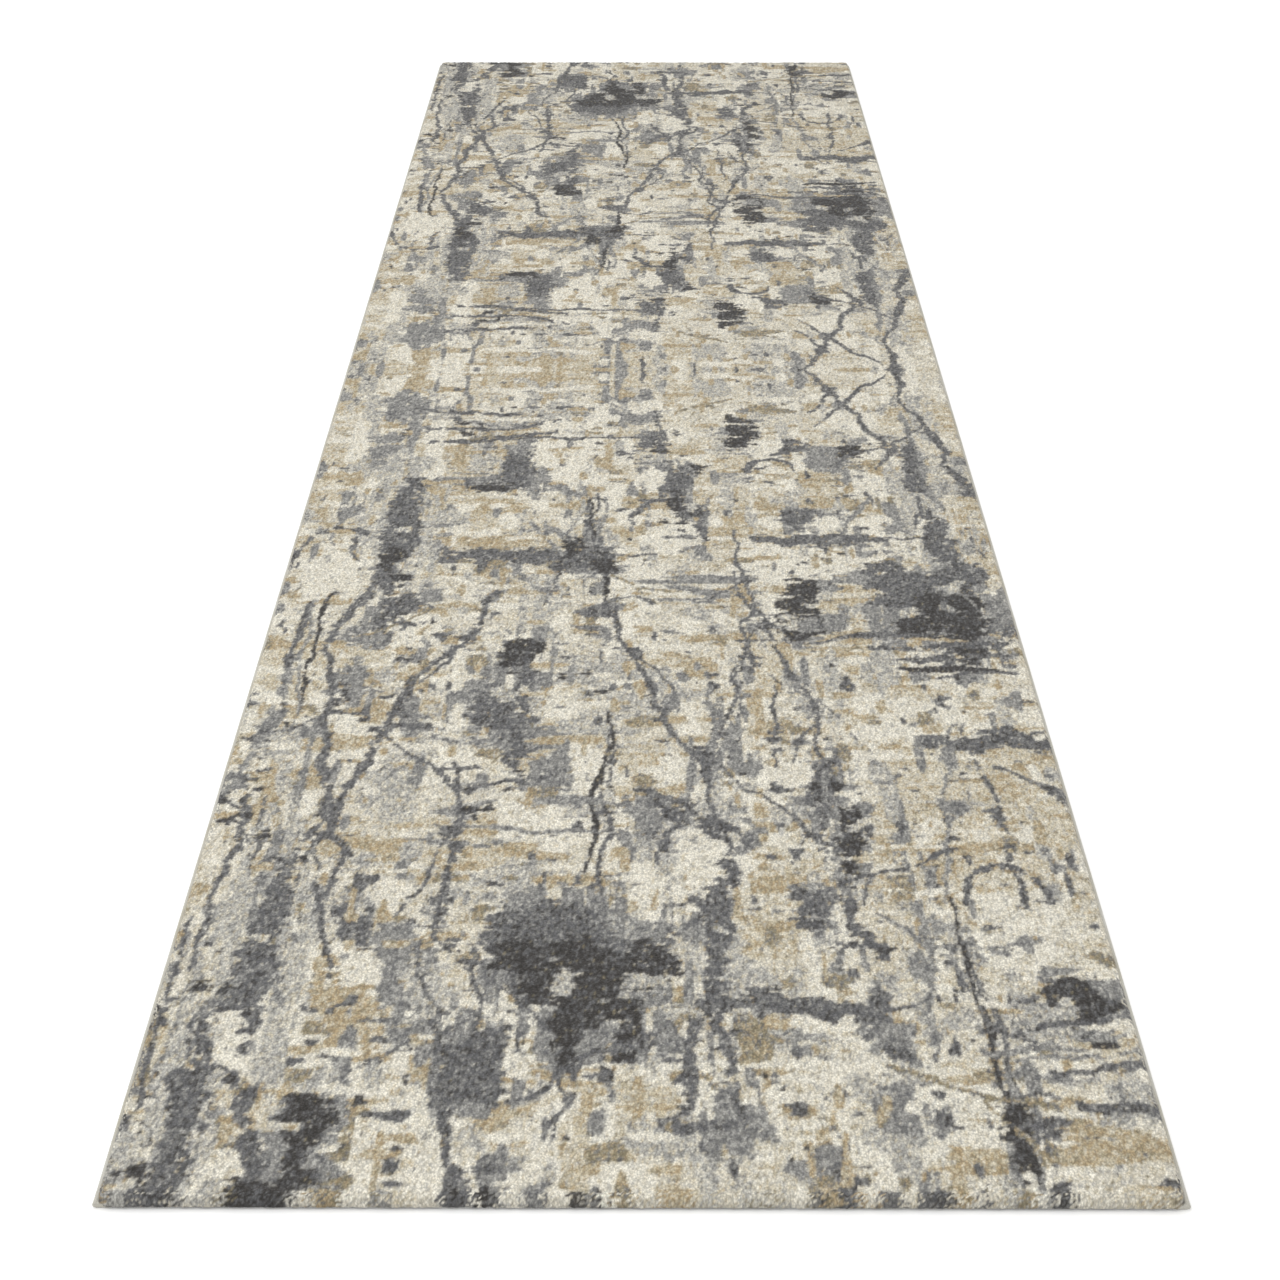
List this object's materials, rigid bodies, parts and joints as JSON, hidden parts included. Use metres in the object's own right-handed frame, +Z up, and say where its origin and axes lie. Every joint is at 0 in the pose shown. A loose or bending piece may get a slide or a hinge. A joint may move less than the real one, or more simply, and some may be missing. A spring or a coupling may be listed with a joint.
{
  "type": "runner rug",
  "caption": "Long narrow cut-pile runner with a woven ground cloth, latex back, serged long sides and overlocked ends, lying flat.",
  "frame": {"origin": "middle of the underside, on the floor", "axes": "+X to the right-hand long edge, +Y along the rug to its far end, +Z up out of the pile"},
  "size_m": [0.8, 3, 0.012],
  "materials": {
    "pile_yarn": "heathered matt cut pile",
    "weft_yarn": "plain jute yarn",
    "warp_yarn": "plain polyester and cotton yarn",
    "latex": "matt back coat",
    "cord_yarn": "plain twisted filler cord",
    "serging_yarn": "close overcast yarn",
    "overlock_yarn": "fine overlock yarn",
    "label_tape": "blank satin tape",
    "sewing_thread": "fine polyester thread"
  },
  "bodies": {
    "root": {"pile": "pile_yarn", "upper_weft": "weft_yarn", "lower_weft": "weft_yarn", "stuffer_warps": "warp_yarn", "chain_warps": "warp_yarn", "latex_size": "latex", "selvedge_cord_left": "cord_yarn", "selvedge_cord_right": "cord_yarn", "side_serging_left": "serging_yarn", "side_serging_right": "serging_yarn", "end_overlock_near": "overlock_yarn", "end_overlock_far": "overlock_yarn", "corner_whip_near_left": "serging_yarn", "corner_whip_near_right": "serging_yarn", "corner_whip_far_left": "serging_yarn", "corner_whip_far_right": "serging_yarn", "care_label": "label_tape", "label_stitching": "sewing_thread"}
  },
  "joints": []
}
